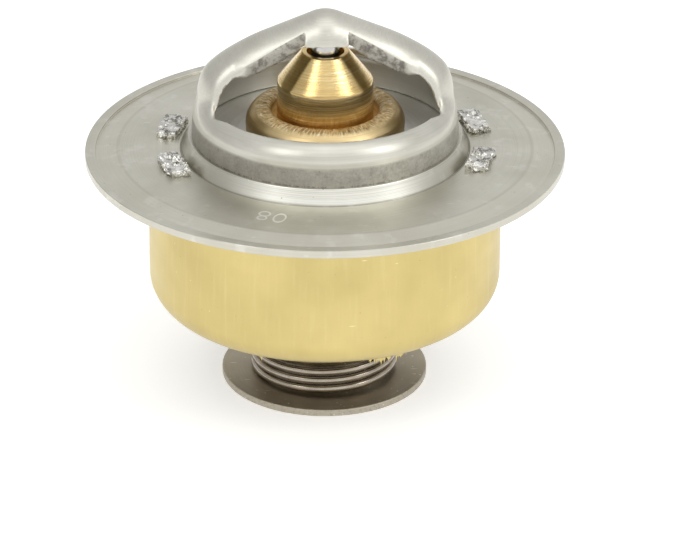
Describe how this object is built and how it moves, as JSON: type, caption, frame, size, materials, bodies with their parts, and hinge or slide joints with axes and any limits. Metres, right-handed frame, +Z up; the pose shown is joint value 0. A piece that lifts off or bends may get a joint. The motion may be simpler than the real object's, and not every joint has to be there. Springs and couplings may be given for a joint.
{
  "type": "engine thermostat",
  "caption": "Wax-element coolant thermostat with a flanged bridge, a brass shroud cup, a sprung main valve and a sprung bypass disc below.",
  "frame": {"origin": "on the axis, in the plane of the flange's lower sealing face", "axes": "+Z up along the axis towards the bridge; +X along the bridge; the two outlet windows face -Y and +Y"},
  "size_m": [0.067, 0.067, 0.0555],
  "materials": {
    "stainless": "drawn stainless sheet, satin with fine draw lines",
    "stirrup_steel": "pressed stainless sheet, peened prongs rough",
    "cup_brass": "satin yellow brass with fine upright draw streaks",
    "piston_steel": "ground steel",
    "spring_steel": "drawn spring wire, grey brown",
    "turned_brass": "bright turned brass with tool lines",
    "case_brass": "dull drawn brass, rim rolled with fine radial wrinkles",
    "ring_plastic": "pale low-friction plastic",
    "sleeve_rubber": "matt black rubber",
    "wax": "copper-filled wax",
    "valve_steel": "flat stamped steel, dull grey",
    "bypass_steel": "stamped steel, brown grey top, scratched, bright sheared edge"
  },
  "bodies": {
    "housing": {"flange_bridge": "stainless", "stirrup": "stirrup_steel", "shroud_cup": "cup_brass", "piston": "piston_steel", "main_spring": "spring_steel"},
    "element": {"piston_guide": "turned_brass", "chafe_ring": "ring_plastic", "rubber_sleeve": "sleeve_rubber", "wax_charge": "wax", "wax_case": "case_brass", "valve_disc": "valve_steel", "snap_ring": "spring_steel", "seat_washer": "valve_steel", "bypass_spring": "spring_steel", "bypass_stem": "piston_steel", "stem_clip": "spring_steel"},
    "bypass": {"bypass_disc": "bypass_steel", "bypass_bush": "turned_brass"}
  },
  "joints": [
    {"name": "valve_opening", "type": "slide", "parent": "housing", "child": "element", "axis": [0, 0, -1], "range_m": [0, 0.008], "stiffness_N_per_m": 4000, "springref_m": -0.015, "deforming": ["main_spring"]},
    {"name": "bypass_slide", "type": "slide", "parent": "element", "child": "bypass", "axis": [0, 0, 1], "range_m": [0, 0.005], "stiffness_N_per_m": 1500, "springref_m": -0.006, "deforming": ["bypass_spring"]}
  ]
}
